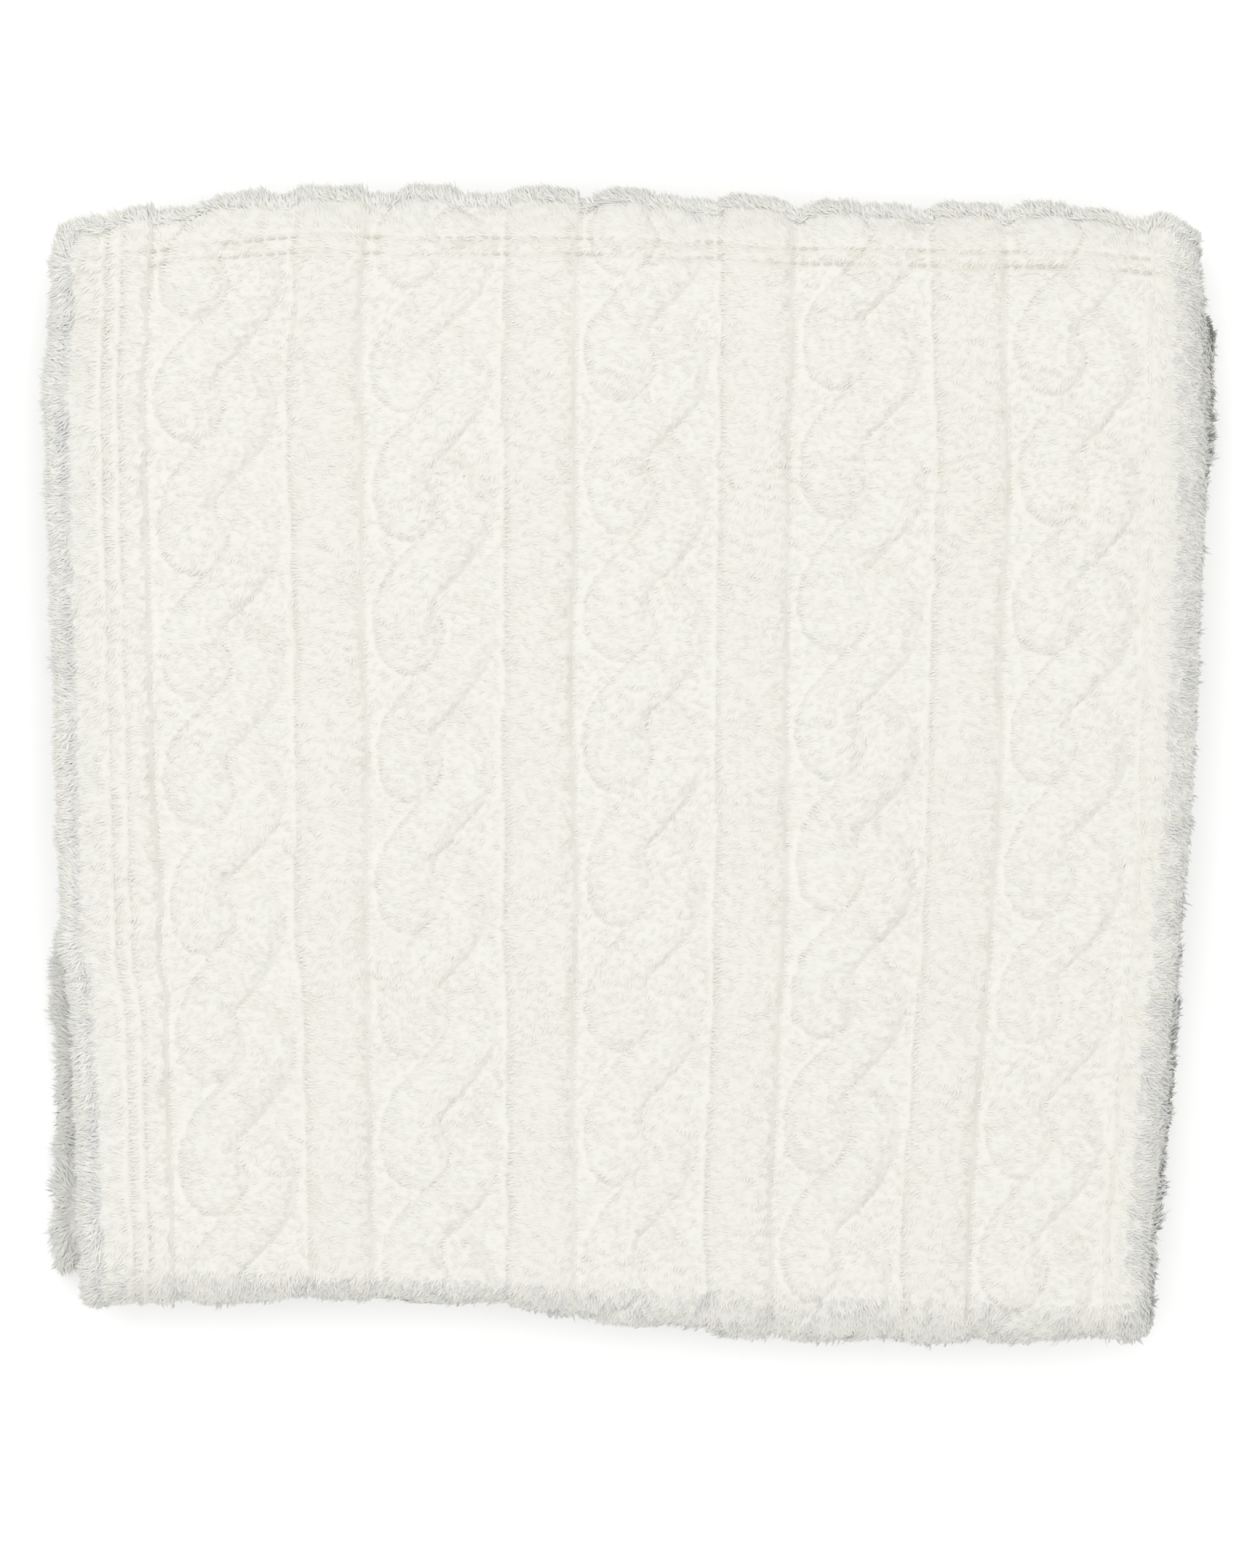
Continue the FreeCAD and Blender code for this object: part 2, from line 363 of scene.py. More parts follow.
# How far the top end stands in, and the near fold out, from straight, by share of the width
TOP_END_IN = (
    (0, 26), (0.03, 19), (0.07, 13), (0.13, 7), (0.22, 0), (0.42, 0),
    (0.58, 2), (0.66, 7), (0.9, 8), (0.96, 13), (1, 23),
)
NEAR_FOLD_OUT = (
    (0, 0), (0.1, -2), (0.22, -8), (0.38, -8), (0.5, 0), (0.62, 5), (0.75, 5), (0.9, 1), (1, -3),
)


def shape_sides(xy, share, t_end, panel):
    """Moves points so that a panel's outline bulges and sags as cloth does."""
    left = TOP_LEFT_OUT if panel == "top" else UNDER_LEFT_OUT
    right = TOP_RIGHT_OUT if panel == "top" else UNDER_RIGHT_OUT
    x, y = xy[..., 0], xy[..., 1]
    x = x - curve(y, left) * (1 - share) ** 2 + curve(y, right) * share**2
    if panel == "top":
        y = y - curve(share, TOP_END_IN) * np.clip(1 - t_end * 3, 0, 1) ** 2
    return np.stack([x, y], -1)


def settle(points):
    """Lets the stack rise and sink gently, and the overhanging top end droop."""
    x, y, z = points[..., 0], points[..., 1], points[..., 2]
    swell = 1.8 * noise(x, y, 110, 130, 31) + 1.0 * noise(x, y, 45, 60, 32) - 1.2
    # heights up to the axis of the nearer fold stay, so that each fold turns about its axis
    kept = mix(NEAR_HEIGHT, FAR_HEIGHT, ramp(y, -220, 160))
    above = np.maximum(z - kept, 0)
    level = above / (STACK - kept)
    to_left = x + LEFT_OUT - (SLANT_FROM - y) * LEFT_SLANT
    to_right = RIGHT_OUT - (SLANT_FROM - y) * RIGHT_SLANT - x
    to_far = FAR_OUT - y
    to_near = y + NEAR_OUT + (x - STACK_LEFT) * NEAR_SLANT
    nearest = np.minimum(np.minimum(to_left, to_right), np.minimum(to_far, to_near))
    z = z - above * EDGE_SINK * np.clip(1 - nearest / EDGE_REACH, 0, 1) ** 2
    across = np.clip((x - STACK_LEFT) / STACK_WIDTH, 0, 1)
    far_line = mix(FAR_LEFT[1], FAR_RIGHT[1], across) + OVERHANG
    over = np.clip(y - far_line, 0, DROOP_REACH)
    droop = DROOP * over**2 * ramp(z, 44, 52)
    return np.stack([x, y, np.maximum(z + swell * level - droop, FLOOR_GAP)], -1)


class Ply:
    """One ply of one panel, from the line where it starts, over the panel, and round its fold."""

    def __init__(self, panel, upper, start, end, fold, free):
        self.panel, self.upper, self.free = panel, upper, free
        self.back = UNDER_PLY_BACK if (panel, upper) == ("top", False) else (0.0, 0.0)
        self.start, self.end = start, end
        self.base = {"bottom": 0, "middle": PANEL_STEP, "top": 2 * PANEL_STEP}[panel]
        self.length = np.linalg.norm((sum(end) - sum(start)) / 2)
        self.fold = fold
        self.bent = 0.0
        if fold:
            height, side = fold
            self.outer = self.upper == (side < 0)
            self.bent = math.pi * (PANEL if self.outer else PLY / 2)
            self.fold_height, self.fold_side = height, side
        self.middle = self.length + self.bent / 2

    def at(self, share, w, depth):
        """Points at a share of the way to the side fold, a distance along, and a depth."""
        share, w, depth = np.broadcast_arrays(share, w, depth)
        share = share + self.back[0] / HALF_WIDTH * np.clip(1 - share * 4, 0, 1) ** 2
        w = w + self.back[1] * np.clip(1 - w / BACK_REACH, 0, 1) ** 2
        t = np.clip(w / self.length, 0, 1)[..., None]
        left = mix(self.start[0], self.end[0], t)
        right = mix(self.start[1], self.end[1], t)
        across = right - left
        width = np.linalg.norm(across, axis=-1)
        along = across / width[..., None]
        flat = width - SIDE_RADIUS
        q = share * (flat + SIDE_RADIUS * math.pi / 2)
        angle = np.clip((q - flat) / SIDE_RADIUS, 0, math.pi / 2)
        radius = SIDE_RADIUS - depth
        c = np.minimum(q, flat) + radius * np.sin(angle)
        rise = radius * np.cos(angle)
        middle = self.base + SIDE_RADIUS
        z = middle + rise if self.upper else middle - rise
        xy = left + along * c[..., None]
        part = c / width
        t_end = t[..., 0] if self.free else np.ones_like(c)
        if self.panel == "bottom":
            t_end = np.ones_like(c)
        moved = shape_sides(xy, part, t_end, self.panel)
        if self.fold:
            turn = np.clip((w - self.length) / self.bent, 0, 1) * math.pi
            bent = w > self.length
            middle_side = shape_sides(xy, part, np.ones_like(c), "middle")
            moved = mix(moved, middle_side, (turn / math.pi)[..., None])
            outward = np.stack([-along[..., 1], along[..., 0]], -1) * self.fold_side
            gap = np.abs(z - self.fold_height)
            reach = gap * np.sin(turn)
            if self.fold_side < 0 and self.outer:
                reach = reach * (1 + curve(part, NEAR_FOLD_OUT) / PANEL)
            moved = moved + outward * np.where(bent, reach, 0)[..., None]
            sign = np.sign(z - self.fold_height)
            z = np.where(bent, self.fold_height + sign * gap * np.cos(turn), z)
        return settle(np.stack([moved[..., 0], moved[..., 1], z], -1))


# ---------------------------------------------------------------- meshes
def spread(low, high, step):
    """Even places from low to high, a whole number of inner steps apart."""
    count = max(1, round((high - low) / (step * INNER_STEP))) * INNER_STEP
    return np.linspace(low, high, count + 1)


def with_rim(places):
    """Puts a rounded rim's close places in front of even ones that start at its end."""
    angle = np.linspace(0, math.pi / 2, RIM_STEPS + 1)[:-1]
    return np.concatenate([EDGE_RADIUS * (1 - np.cos(angle)), places])


def rim_turn(distance):
    """Sine and cosine of how far a rounded edge has turned, at a distance from its tip."""
    cosine = np.clip(1 - distance / EDGE_RADIUS, 0, 1)
    return np.sqrt(1 - cosine**2), cosine


def new_object(name, points, loops, starts):
    """A mesh object from points in millimetres, and each face's start in one list of corners."""
    mesh = bpy.data.meshes.new(name)
    mesh.vertices.add(len(points))
    mesh.vertices.foreach_set("co", (points * MM).astype(np.float32).ravel())
    mesh.loops.add(len(loops))
    mesh.loops.foreach_set("vertex_index", np.asarray(loops, np.int32))
    mesh.polygons.add(len(starts))
    mesh.polygons.foreach_set("loop_start", np.asarray(starts, np.int32))
    mesh.polygons.foreach_set("use_smooth", np.ones(len(starts), bool))
    mesh.update(calc_edges=True)
    mesh.validate()
    made = bpy.data.objects.new(name, mesh)
    bpy.context.scene.collection.objects.link(made)
    return made


def grid_normals(grid):
    across = np.gradient(grid, axis=0)
    along = np.gradient(grid, axis=1)
    normal = np.cross(across, along)
    return normal / np.maximum(np.linalg.norm(normal, axis=-1, keepdims=True), 1e-9)


def cloth_mesh(name, outer, inner, crease_shade, normals, flip):
    """A closed piece of cloth: a fine outer grid, a coarser inner grid and a rim between."""
    n, m = outer.shape[:2]
    front = np.arange(n * m).reshape(n, m)
    back_rows, back_columns = np.arange(0, n, INNER_STEP), np.arange(0, m, INNER_STEP)
    back_points = inner[np.ix_(back_rows, back_columns)]
    a, b = back_points.shape[:2]
    back = n * m + np.arange(a * b).reshape(a, b)

    def quads(ids, turned):
        corners = [ids[:-1, :-1], ids[1:, :-1], ids[1:, 1:], ids[:-1, 1:]]
        faces = np.stack([c.ravel() for c in corners], 1)
        return faces[:, ::-1] if turned else faces

    faces = [*quads(front, flip), *quads(back, not flip)]
    borders = [
        (front[:, 0], back[:, 0], False),
        (front[:, -1], back[:, -1], True),
        (front[0, :], back[0, :], True),
        (front[-1, :], back[-1, :], False),
    ]
    for fine, rough, turned in borders:
        for k in range(len(rough) - 1):
            face = [rough[k], rough[k + 1], *fine[k * INNER_STEP : (k + 1) * INNER_STEP + 1][::-1]]
            faces.append(face if turned != flip else face[::-1])
    lengths = np.array([len(f) for f in faces])
    starts = np.concatenate([[0], np.cumsum(lengths)[:-1]])
    points = np.concatenate([outer.reshape(-1, 3), back_points.reshape(-1, 3)])
    made = new_object(name, points, np.concatenate(faces), starts)
    # painted crease shade, kept on the points for the plush material
    levels = np.concatenate([crease_shade.ravel(), np.zeros(a * b)])
    layer = made.data.attributes.new("crease_shade", "FLOAT", "POINT")
    layer.data.foreach_set("value", levels.astype(np.float32))
    shown = np.concatenate([normals.reshape(-1, 3), np.zeros((a * b, 3))])
    made.data.normals_split_custom_set_from_vertices(shown.tolist())
    return made


def tuft_mesh(name, roots, normals, aims, lengths, widths, lifts):
    """Tapered locks of pile: each a short curved blade, rooted in the cloth."""
    side = np.cross(normals, aims)
    side = side / np.maximum(np.linalg.norm(side, axis=1, keepdims=True), 1e-9)
    half = side * widths[:, None] / 2
    middle = roots + aims * (lengths * 0.5)[:, None] + normals * (lifts * 0.75)[:, None]
    tip = roots + aims * lengths[:, None] + normals * lifts[:, None]
    low = roots - normals * 0.6
    points = np.stack([low - half, low + half, middle - half * 0.8, middle + half * 0.8, tip], 1)
    points[..., 2] = np.maximum(points[..., 2], FLOOR_GAP)
    count = len(roots)
    pattern = np.array([1, 0, 2, 3, 3, 2, 4])
    loops = (np.arange(count)[:, None] * 5 + pattern).ravel()
    starts = (np.arange(count)[:, None] * 7 + np.array([0, 4])).ravel()
    made = new_object(name, points.reshape(-1, 3), loops, starts)
    shown = np.repeat(normals, 5, axis=0)
    made.data.normals_split_custom_set_from_vertices(shown.tolist())
    return made


# ---------------------------------------------------------------- materials
IVORY = (0.885, 0.874, 0.816, 1)
SHADED_IVORY = (0.87, 0.857, 0.796, 1)
# painted shade: the beige that the creases are darkened towards
CREASE_SHADE_BEIGE = (0.74, 0.71, 0.61, 1)
THREAD_CREAM = (0.86, 0.84, 0.77, 1)


def new_material(name, rough=0.92, sheen=0.35):
    made = bpy.data.materials.new(name)
    made.use_nodes = True
    shader = made.node_tree.nodes["Principled BSDF"]
    shader.inputs["Roughness"].default_value = rough
    shader.inputs["Specular IOR Level"].default_value = 0.15
    shader.inputs["Sheen Weight"].default_value = sheen
    shader.inputs["Sheen Roughness"].default_value = 0.5
    return made, shader


def plush_material(name, streak_scale, strength):
    made, shader = new_material(name)
    nodes, links = made.node_tree.nodes, made.node_tree.links
    place = nodes.new("ShaderNodeNewGeometry")
    stretch = nodes.new("ShaderNodeMapping")
    stretch.inputs["Rotation"].default_value = (0, 0, 0.3)
    stretch.inputs["Scale"].default_value = (0.45, 1.6, 1.0)
    links.new(place.outputs["Position"], stretch.inputs["Vector"])
    streaks = nodes.new("ShaderNodeTexNoise")
    streaks.inputs["Scale"].default_value = streak_scale
    streaks.inputs["Detail"].default_value = 4
    streaks.inputs["Roughness"].default_value = 0.6
    links.new(stretch.outputs["Vector"], streaks.inputs["Vector"])
    patches = nodes.new("ShaderNodeTexNoise")
    patches.inputs["Scale"].default_value = 38
    patches.inputs["Detail"].default_value = 3
    links.new(place.outputs["Position"], patches.inputs["Vector"])
    base = nodes.new("ShaderNodeMix")
    base.data_type = "RGBA"
    base.inputs["A"].default_value = SHADED_IVORY
    base.inputs["B"].default_value = IVORY
    tone = nodes.new("ShaderNodeMapRange")
    tone.inputs["From Min"].default_value = 0.25
    tone.inputs["From Max"].default_value = 0.5
    both = nodes.new("ShaderNodeMath")
    both.operation = "MULTIPLY_ADD"
    both.inputs[1].default_value = 0.6
    links.new(streaks.outputs["Fac"], both.inputs[0])
    half = nodes.new("ShaderNodeMath")
    half.operation = "MULTIPLY"
    half.inputs[1].default_value = 0.3
    links.new(patches.outputs["Fac"], half.inputs[0])
    links.new(half.outputs[0], both.inputs[2])
    links.new(both.outputs[0], tone.inputs["Value"])
    links.new(tone.outputs["Result"], base.inputs["Factor"])
    # painted shade: the colour is darkened towards a beige where the points' crease shade is high
    shade_level = nodes.new("ShaderNodeAttribute")
    shade_level.attribute_name = "crease_shade"
    crease_shade_mix = nodes.new("ShaderNodeMix")
    crease_shade_mix.data_type = "RGBA"
    links.new(shade_level.outputs["Fac"], crease_shade_mix.inputs["Factor"])
    links.new(base.outputs["Result"], crease_shade_mix.inputs["A"])
    crease_shade_mix.inputs["B"].default_value = CREASE_SHADE_BEIGE
    links.new(crease_shade_mix.outputs["Result"], shader.inputs["Base Color"])
    bump = nodes.new("ShaderNodeBump")
    bump.inputs["Strength"].default_value = strength
    bump.inputs["Distance"].default_value = 0.0012
    links.new(streaks.outputs["Fac"], bump.inputs["Height"])
    links.new(bump.outputs["Normal"], shader.inputs["Normal"])
    return made


def tuft_material(name, colour):
    made, shader = new_material(name, sheen=0.25)
    shader.inputs["Base Color"].default_value = colour
    return made


def thread_material():
    made, shader = new_material("hem_thread", rough=0.7, sheen=0.1)
    nodes, links = made.node_tree.nodes, made.node_tree.links
    twist = nodes.new("ShaderNodeTexWave")
    twist.inputs["Scale"].default_value = 900
    twist.inputs["Distortion"].default_value = 1.5
    place = nodes.new("ShaderNodeNewGeometry")
    links.new(place.outputs["Position"], twist.inputs["Vector"])
    bump = nodes.new("ShaderNodeBump")
    bump.inputs["Strength"].default_value = 0.4
    bump.inputs["Distance"].default_value = 0.0003
    links.new(twist.outputs["Fac"], bump.inputs["Height"])
    links.new(bump.outputs["Normal"], shader.inputs["Normal"])
    shader.inputs["Base Color"].default_value = THREAD_CREAM
    return made


PLUSH = plush_material("plush", 420, 0.3)
HEM_PLUSH = plush_material("hem_plush", 360, 0.35)
THREAD = thread_material()
TUFTS = [
    tuft_material("pile_light", (0.892, 0.882, 0.826, 1)),
    tuft_material("pile_middle", (0.882, 0.871, 0.813, 1)),
    tuft_material("pile_shaded", (0.87, 0.857, 0.797, 1)),
]
# painted shade: the locks of the fringe at the edges are a darker, cooler grey than the pile
FRINGE_SHADE = tuft_material("pile_fringe_shade", (0.785, 0.789, 0.765, 1))

# Locks of pile: the lowest and highest length, width and rise of the tip, and what is added to
# the rise at a rim
LOCK_LENGTH = (3.6, 6.6)
LOCK_WIDTH = (0.9, 1.6)
LOCK_RISE = (0.15, 0.75)
RIM_RISE = (0.6, 2.2)
# The share of the locks that is moved to the edges of a ply: to its left edge up to the first of
# these draws, to its side fold up to the second, to its free end up to the third, then to its bend
EDGE_LOCKS = 0.16
TO_LEFT, TO_SIDE, TO_START = 0.35, 0.55, 0.8
# How far in from the left edge, the free end, the side fold and the last row they grow
LEFT_REACH, START_REACH, SIDE_REACH, END_REACH = 7, 7, 24, 10
# The fringe: all its locks are moved, and most of them to the outermost millimetres; they are
# coloured a darker, cooler grey as painted shade
FRINGE_LOCKS = 12000
FRINGE_REACH, FRINGE_POWER = 11, 1.8
RIM_REACH = 8
# A lock is left out where the cloth's painted crease shade is stronger than a draw between these
BARE_CREASE = (0.25, 0.8)
# Plies under the top one have only this many tones of pile, besides the fringe
HIDDEN_TONES = 2

# ---------------------------------------------------------------- the plies
# The height of each fold's axis, and the side of the throw it is on, from near to far
AT_NEAR = (NEAR_HEIGHT, -1)
AT_FAR = (FAR_HEIGHT, 1)
# name: panel, on top, start line, end line, fold, free start, first half of the cloth's width,
# mesh spacing, number of locks of pile in each tone
PLIES = {
    "top_upper": ("top", True, TOP_END, NEAR_FOLD, AT_NEAR, True, True, FINE, 46000),
    "top_lower": ("top", False, TOP_END, NEAR_FOLD, AT_NEAR, True, False, COARSE, 14000),
    "middle_lower": ("middle", False, NEAR_FOLD, FAR_FOLD, None, False, True, COARSE, 14000),
    "middle_upper": ("middle", True, NEAR_FOLD, FAR_FOLD, None, False, False, COARSE, 14000),
    "bottom_upper": ("bottom", True, BOTTOM_END, FAR_FOLD, AT_FAR, True, True, COARSE, 14000),
    "bottom_lower": ("bottom", False, BOTTOM_END, FAR_FOLD, AT_FAR, True, False, COARSE, 14000),
}
# Where each panel starts along the throw, and which way it goes on
THIRD = 592.0
NEAR_BEND = 10
ALONG_START = {"top": 0.0, "middle": THIRD + NEAR_BEND, "bottom": 3 * THIRD}
ALONG_SIGN = {"top": 1, "middle": 1, "bottom": -1}


def attach(piece, name, part):
    """Rides a piece on its panel; past the middle of its fold, on the middle panel.

    The pieces of a bend get a mesh of their own.
    """
    panel = "middle" if part.startswith("bend_end") else PLIES[name][0]
    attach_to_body(piece, f"{panel}_panel")
    if part.startswith("bend"):
        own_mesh(piece)


def replaced_nodes(name):
    """The CAD nodes that a ply's sheet, side hem, threads, bend and bend's threads stand for."""
    panel = PLIES[name][0]
    ply = name.split("_")[1]
    folded = {"top_upper": ("near_fold", "outer"), "top_lower": ("near_fold", "inner")}
    folded.update({"bottom_upper": ("far_fold", "inner"), "bottom_lower": ("far_fold", "outer")})
    sheet = [f"{panel}_panel_face", f"{panel}_panel_backing"]
    hem = [f"{panel}_panel_{ply}_side_hem"]
    thread = [f"{panel}_panel_{ply}_side_stitching"]
    bend, bend_thread = [], []
    if name in folded:
        fold, side = folded[name]
        bend = [f"{fold}_face", f"{fold}_backing", f"{fold}_{side}_side_hem"]
        bend_thread = [f"{fold}_{side}_side_stitching"]
    return sheet, hem, thread, bend, bend_thread


def stitch_mesh(name, ply, low, high, rows_end):
    """Sewn stitches along the side hem, and along the free end's hem."""
    points, loops, starts = [], [], []
    t = np.linspace(0, 1, STITCH_RINGS)
    sunk = THREAD_DEPTH + STITCH_SINK * (2 * t - 1) ** 4
    girth = THREAD_RADIUS * np.sqrt(np.clip(1 - (2 * t - 1) ** 6, 0.15, 1))
    ring = range(STITCH_SIDES)

    def face(corners):
        starts.append(len(loops))
        loops.extend(corners)

    def stitch(shares, ws):
        centre = ply.at(mix(*shares, t), mix(*ws, t), sunk)
        along = centre[-1] - centre[0]
        along = along / np.linalg.norm(along)
        normal = np.array([0, 0, 1.0]) if abs(along[2]) < 0.9 else np.array([0, 1.0, 0])
        side = np.cross(along, normal)
        side = side / np.linalg.norm(side)
        up = np.cross(side, along)
        base = len(points)
        for middle, radius in zip(centre, girth):
            for a in ring:
                turn = 2 * math.pi * a / STITCH_SIDES
                points.append(middle + radius * (side * math.cos(turn) + up * math.sin(turn)))
        for low_ring in range(base, base + (STITCH_RINGS - 1) * STITCH_SIDES, STITCH_SIDES):
            high_ring = low_ring + STITCH_SIDES
            for a in ring:
                b = (a + 1) % STITCH_SIDES
                face([low_ring + a, low_ring + b, high_ring + b, high_ring + a])
        face([base + a for a in reversed(ring)])
        face([base + (STITCH_RINGS - 1) * STITCH_SIDES + a for a in ring])

    for row in STITCH_ROWS:
        share = row / HALF_WIDTH
        for w in np.arange(low, high, STITCH_PITCH):
            stitch((share, share), (w, w + STITCH_LENGTH))
    for row in rows_end:
        for q in np.arange(HEM + 4, HALF_WIDTH - 8, STITCH_PITCH):
            stitch((q / HALF_WIDTH, (q + STITCH_LENGTH) / HALF_WIDTH), (row, row))
    return new_object(name, np.array(points), loops, starts)


def grid_places(ply, step):
    """Places across and along a ply's grid, and how many rows its hem, panel and half bend have."""
    hem = with_rim(spread(EDGE_RADIUS, HEM, step))
    q = np.concatenate([hem, spread(HEM, HALF_WIDTH, step)[1:]])
    if ply.free:
        w = np.concatenate([hem, spread(HEM, ply.length, step)[1:]])
    else:
        w = spread(0, ply.length, step)
    flat_rows = half_rows = len(w) - 1
    if ply.fold:
        to_middle = spread(ply.length, ply.middle - BEND_GAP, step)[1:]
        w = np.concatenate([w, to_middle])
        half_rows = len(w)
        w = np.concatenate([w, spread(ply.middle + BEND_GAP, ply.length + ply.bent, step)])
    return q, w, (len(hem) - 1, flat_rows, half_rows)


def cut_grid(ply, rows):
    """Which part of a ply's grid each piece of cloth takes."""
    hem, flat_rows, half_rows = rows
    first_row = hem if ply.free else 0
    parts = {
        "side_hem": (slice(0, hem + 1), slice(0, flat_rows + 1)),
        "sheet": (slice(hem, None), slice(first_row, flat_rows + 1)),
    }
    if ply.free:
        parts["end_hem"] = (slice(hem, None), slice(0, hem + 1))
    if ply.fold:
        parts["bend_start"] = (slice(None), slice(flat_rows, half_rows))
        parts["bend_end"] = (slice(None), slice(half_rows, None))
    return parts


def ply_surface(ply, q, w, first_half):
    """The outer and inner points of a ply's grid, and the painted crease shade of its outside."""
    to_left, to_start = np.meshgrid(q, w, indexing="ij")
    u = to_left if first_half else CLOTH_WIDTH - to_left
    v = ALONG_START[ply.panel] + ALONG_SIGN[ply.panel] * to_start
    from_end = to_start if ply.free else np.full_like(to_start, NO_END)
    depth, crease_shade = relief(u, v, from_end)
    if ply.fold and not ply.outer:
        fade = 1 - ramp(to_start, ply.length - INNER_FADE, ply.length)
        depth, crease_shade = depth * fade, crease_shade * fade
    side_sine, side_cosine = rim_turn(to_left)
    end_sine, end_cosine = rim_turn(from_end)
    turned = np.maximum(side_cosine, end_cosine)
    sink = EDGE_RADIUS * (1 - side_sine * end_sine)
    ragged = RAGGED_EDGE * noise(u, v, 14, 9, 23)
    shift_q = (SIDE_NOTCH * depth + ragged) * (1 - ramp(to_left, 0, SIDE_NOTCH_REACH))
    shift_w = END_NOTCH * depth * (1 - ramp(from_end, 0, END_NOTCH_REACH))
    flat_depth = depth * (1 - turned)
    outer_depth = np.clip(flat_depth + sink, HIGHEST, PLY / 2 - RIM / 2)
    on_rim = (to_left < EDGE_RADIUS) | (from_end < EDGE_RADIUS)
    outer_depth = np.where(on_rim, outer_depth, flat_depth)
    inner_depth = np.maximum(PLY - sink, PLY / 2 + RIM / 2)
    if ply.fold:
        thin = 1 - ramp(np.abs(to_start - ply.middle), BEND_GAP, ply.bent / 4)
        inner_depth = mix(inner_depth, outer_depth + BEND_TIP, thin)
    share = (to_left + shift_q) / HALF_WIDTH
    along = to_start + shift_w
    return ply.at(share, along, outer_depth), ply.at(share, along, inner_depth), crease_shade


def scatter(ply, rng, count, last, shaded_fringe):
    """Random places for locks of pile, part of them moved to the edges and the bend."""
    at_q = rng.uniform(0, HALF_WIDTH, count)
    at_w = rng.uniform(0, last, count)
    extra = int(count * (1 if shaded_fringe else EDGE_LOCKS))
    kind = rng.uniform(0, 1, extra)
    from_edge = rng.uniform(0, 1, extra)
    from_edge = FRINGE_REACH * from_edge**FRINGE_POWER if shaded_fringe else LEFT_REACH * from_edge
    at_q[:extra] = np.where(kind < TO_LEFT, from_edge, at_q[:extra])
    at_side = (kind >= TO_LEFT) & (kind < TO_SIDE)
    from_side = HALF_WIDTH - rng.uniform(0, SIDE_REACH, extra)
    at_q[:extra] = np.where(at_side, from_side, at_q[:extra])
    if ply.free:
        at_start = (kind >= TO_SIDE) & (kind < TO_START)
        from_start = rng.uniform(0, START_REACH, extra)
        at_w[:extra] = np.where(at_start, from_start, at_w[:extra])
    in_fold = last - rng.uniform(0, max(ply.bent, END_REACH), extra)
    at_w[:extra] = np.where(kind >= TO_START, in_fold, at_w[:extra])
    return at_q, at_w


def nearest_index(at, places):
    i = np.round(np.interp(at, places, np.arange(len(places)))).astype(int)
    return np.clip(i, 0, len(places) - 1)


def unit(vectors):
    return vectors / np.maximum(np.linalg.norm(vectors, axis=1, keepdims=True), 1e-9)


def grow_pile(name, ply, rng, grid, count, tone):
    """Locks of pile of one tone, as one piece on the panel and one on each half of the bend."""
    q, w, outer, normals, crease_shade = grid
    shaded_fringe = tone == "shaded_fringe"
    at_q, at_w = scatter(ply, rng, count, w[-1], shaded_fringe)
    i, j = nearest_index(at_q, q), nearest_index(at_w, w)
    keep = crease_shade[i, j] < rng.uniform(*BARE_CREASE, count)
    i, j, at_q, at_w = i[keep], j[keep], at_q[keep], at_w[keep]
    count = len(i)
    root, normal = outer[i, j], normals[i, j]
    step_q = unit(np.gradient(outer, axis=0)[i, j])
    step_w = unit(np.gradient(outer, axis=1)[i, j])
    # the pile lies over towards the left edge, and out over every edge and the bend
    near_left = 1 - ramp(at_q, 20, 60)
    near_right = ramp(at_q, HALF_WIDTH - 50, HALF_WIDTH - 10)
    near_start = (1 - ramp(at_w, 8, 34)) if ply.free else 0 * at_w
    near_end = ramp(at_w, ply.length - 20, ply.length + 10) if ply.fold else 0 * at_w
    swirl = 0.9 * noise(at_q, at_w, 26, 26, 41) + rng.normal(0, 0.35, count)
    to_q = -0.75 - 0.8 * near_left + 2.0 * near_right
    to_w = 0.35 - 1.6 * near_start + 1.4 * near_end
    turn_cos, turn_sin = np.cos(swirl), np.sin(swirl)
    aim = step_q * (to_q * turn_cos - to_w * turn_sin)[:, None]
    aim = unit(aim + step_w * (to_q * turn_sin + to_w * turn_cos)[:, None])
    rimmed = np.clip((at_q < RIM_REACH) + (at_w < RIM_REACH) * bool(ply.free), 0, 1)
    lengths = rng.uniform(*LOCK_LENGTH, count) * (1 + 0.3 * near_left + 0.35 * rimmed)
    widths = rng.uniform(*LOCK_WIDTH, count)
    lifts = rng.uniform(*LOCK_RISE, count) + rng.uniform(*RIM_RISE, count) * rimmed
    if shaded_fringe:
        clumps = noise(at_q, at_w, 9, 9, 42) + 0.6 * noise(at_q, at_w, 4, 4, 43)
        lengths = lengths * (0.95 + 0.5 * clumps)
        lifts = lifts + (1.4 + 1.6 * clumps) * (1 - rimmed)
    in_bend = at_w > ply.length
    in_end = at_w > ply.middle
    zones = {
        "pile": ~in_bend,
        "bend_start_pile": in_bend & ~in_end,
        "bend_end_pile": in_bend & in_end,
    }
    grown = []
    for label, chosen in zones.items():
        if chosen.any():
            detail = [a[chosen] for a in (root, normal, aim, lengths, widths, lifts)]
            locks = tuft_mesh(f"{name}_{label}_{tone}", *detail)
            # the fringe locks take the painted-shade grey
            locks.data.materials.append(FRINGE_SHADE if shaded_fringe else TUFTS[tone])
            attach(locks, name, label)
            grown.append(locks)
    return grown


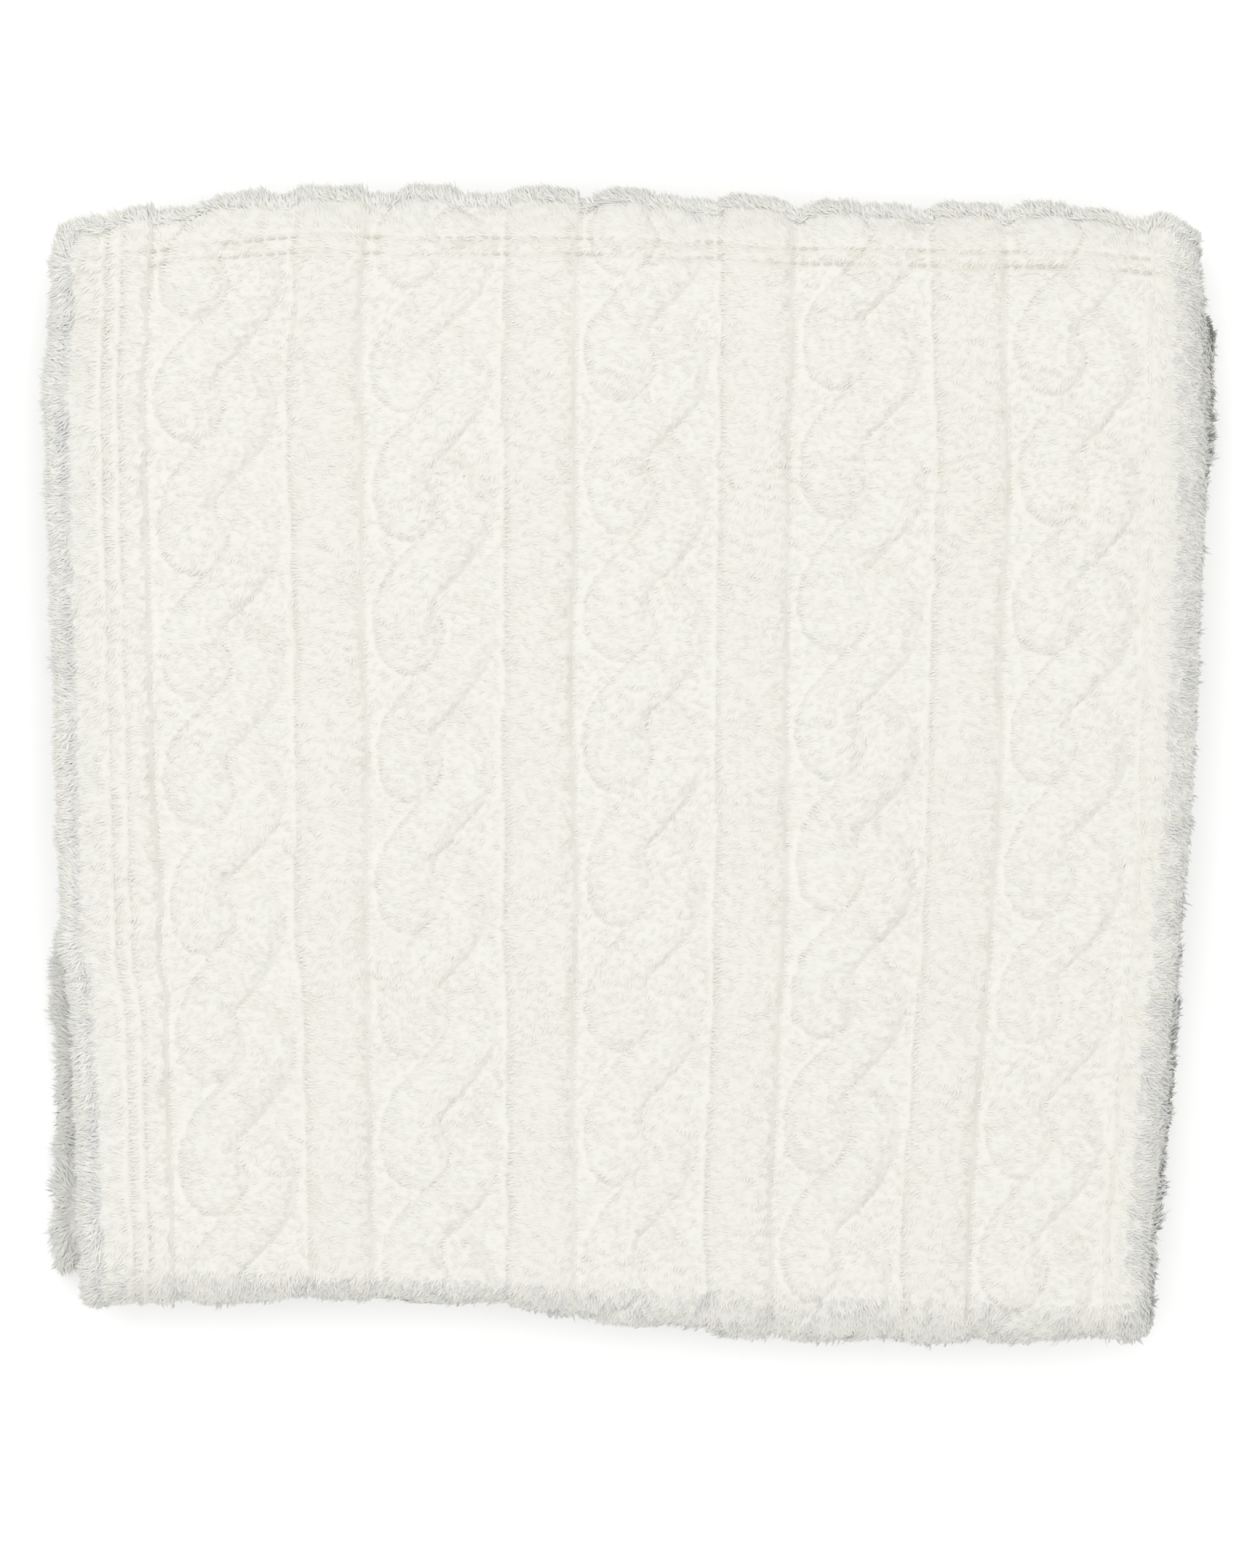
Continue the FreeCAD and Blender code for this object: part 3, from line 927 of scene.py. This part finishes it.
def build_ply(name, seed):
    """Makes every piece of one ply, and returns its sheet and the others."""
    panel, upper, start, end, fold, free, first_half, step, tufts = PLIES[name]
    ply = Ply(panel, upper, start, end, fold, free)
    rng = np.random.default_rng(seed)
    q, w, rows = grid_places(ply, step)
    outer, inner, crease_shade = ply_surface(ply, q, w, first_half)
    normals = grid_normals(outer)
    flip = (normals[len(q) // 2, len(w) // 3, 2] > 0) != upper
    if flip:
        normals = -normals

    pieces = {}
    for part, cut in cut_grid(ply, rows).items():
        label = f"{name}_{part}"
        made = cloth_mesh(label, outer[cut], inner[cut], crease_shade[cut], normals[cut], flip)
        made.data.materials.append(HEM_PLUSH if part.endswith("hem") else PLUSH)
        pieces[part] = made

    grid = (q, w, outer, normals, crease_shade)
    pile = []
    for tone in range(len(TUFTS) if name == "top_upper" else HIDDEN_TONES):
        pile += grow_pile(name, ply, rng, grid, tufts, tone)
    pile += grow_pile(name, ply, rng, grid, FRINGE_LOCKS, "shaded_fringe")

    sheet_nodes, hem_nodes, thread_nodes, bend_nodes, bend_threads = replaced_nodes(name)
    runs = {"stitching": (THREAD_START, ply.length)}
    if fold:
        runs["bend_start_stitching"] = (ply.length + 1, ply.middle - BEND_GAP)
        runs["bend_end_stitching"] = (ply.middle + BEND_GAP, ply.length + ply.bent)
        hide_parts(*bend_nodes)
        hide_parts(*bend_nodes)
    sewn = []
    for label, (low, high) in runs.items():
        rows_end = STITCH_ROWS if free and label == "stitching" else ()
        threads = stitch_mesh(f"{name}_{label}", ply, low, high - STITCH_LENGTH, rows_end)
        threads.data.materials.append(THREAD)
        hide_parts(*(thread_nodes if label == "stitching" else bend_threads))
        attach(threads, name, label)
        sewn.append(threads)
    if free:
        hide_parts(f"{panel}_panel_end_hem")
        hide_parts(f"{panel}_panel_end_stitching")
    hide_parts(*sheet_nodes)
    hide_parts(*hem_nodes)
    for part, piece in pieces.items():
        attach(piece, name, part)
    others = [p for part, p in pieces.items() if part != "sheet"] + pile + sewn
    return pieces["sheet"], others


# Every ply's sheet and its other pieces, by name
built = {name: build_ply(name, 100 + index) for index, name in enumerate(PLIES)}

# ---------------------------------------------------------------- floor, light and camera
FLOOR_SIZE = 40.0
FLOOR_BELOW = 0.0008
bpy.ops.mesh.primitive_plane_add(size=FLOOR_SIZE, location=(0, 0, -FLOOR_BELOW))
floor = bpy.context.object
floor.name = "floor"
floor_material = bpy.data.materials.new("floor")
floor_material.use_nodes = True
floor_shader = floor_material.node_tree.nodes["Principled BSDF"]
floor_shader.inputs["Base Color"].default_value = (0.93, 0.93, 0.93, 1)
floor_shader.inputs["Roughness"].default_value = 1.0
floor_shader.inputs["Specular IOR Level"].default_value = 0.0
floor_shader.inputs["Emission Color"].default_value = (1, 1, 1, 1)
floor_shader.inputs["Emission Strength"].default_value = 0.2
floor.data.materials.append(floor_material)

HORIZON_LIGHT = 0.14
ZENITH_LIGHT = 1.08
world = bpy.data.worlds.new("studio")
world.use_nodes = True
sky = world.node_tree.nodes
sky["Background"].inputs["Color"].default_value = (1, 1, 1, 1)
way = sky.new("ShaderNodeTexCoord")
height = sky.new("ShaderNodeSeparateXYZ")
level = sky.new("ShaderNodeMapRange")
level.inputs["From Min"].default_value = 0.0
level.inputs["From Max"].default_value = 0.85
level.inputs["To Min"].default_value = HORIZON_LIGHT
level.inputs["To Max"].default_value = ZENITH_LIGHT
world.node_tree.links.new(way.outputs["Generated"], height.inputs["Vector"])
world.node_tree.links.new(height.outputs["Z"], level.inputs["Value"])
world.node_tree.links.new(level.outputs["Result"], sky["Background"].inputs["Strength"])
bpy.context.scene.world = world


def area_light(name, place, size, power):
    """A square lamp that points at the middle of the floor."""
    data = bpy.data.lights.new(name, "AREA")
    data.shape = "SQUARE"
    data.size = size
    data.energy = power
    lamp = bpy.data.objects.new(name, data)
    bpy.context.scene.collection.objects.link(lamp)
    lamp.location = place
    lamp.rotation_euler = (-lamp.location).to_track_quat("-Z", "Y").to_euler()


area_light("overhead", (-0.2, 0.3, 3.0), size=2.4, power=17)
area_light("key", (-1.5, 1.5, 2.6), size=1.4, power=6)

# The picture's height on the plane of the throw's top, that plane's height, and what it centres on
FRAME_HEIGHT = 0.8766
TOP_HEIGHT = 0.07
CAMERA_OVER = (-0.0033, -0.0098)
camera_data = bpy.data.cameras.new("camera")
camera_data.sensor_fit = "VERTICAL"
camera_data.sensor_height = 36.0
camera_data.lens = 180.0
camera = bpy.data.objects.new("camera", camera_data)
bpy.context.scene.collection.objects.link(camera)
away = FRAME_HEIGHT * camera_data.lens / camera_data.sensor_height
camera.location = (*CAMERA_OVER, TOP_HEIGHT + away)
bpy.context.scene.camera = camera
bpy.context.scene.view_settings.view_transform = "Standard"
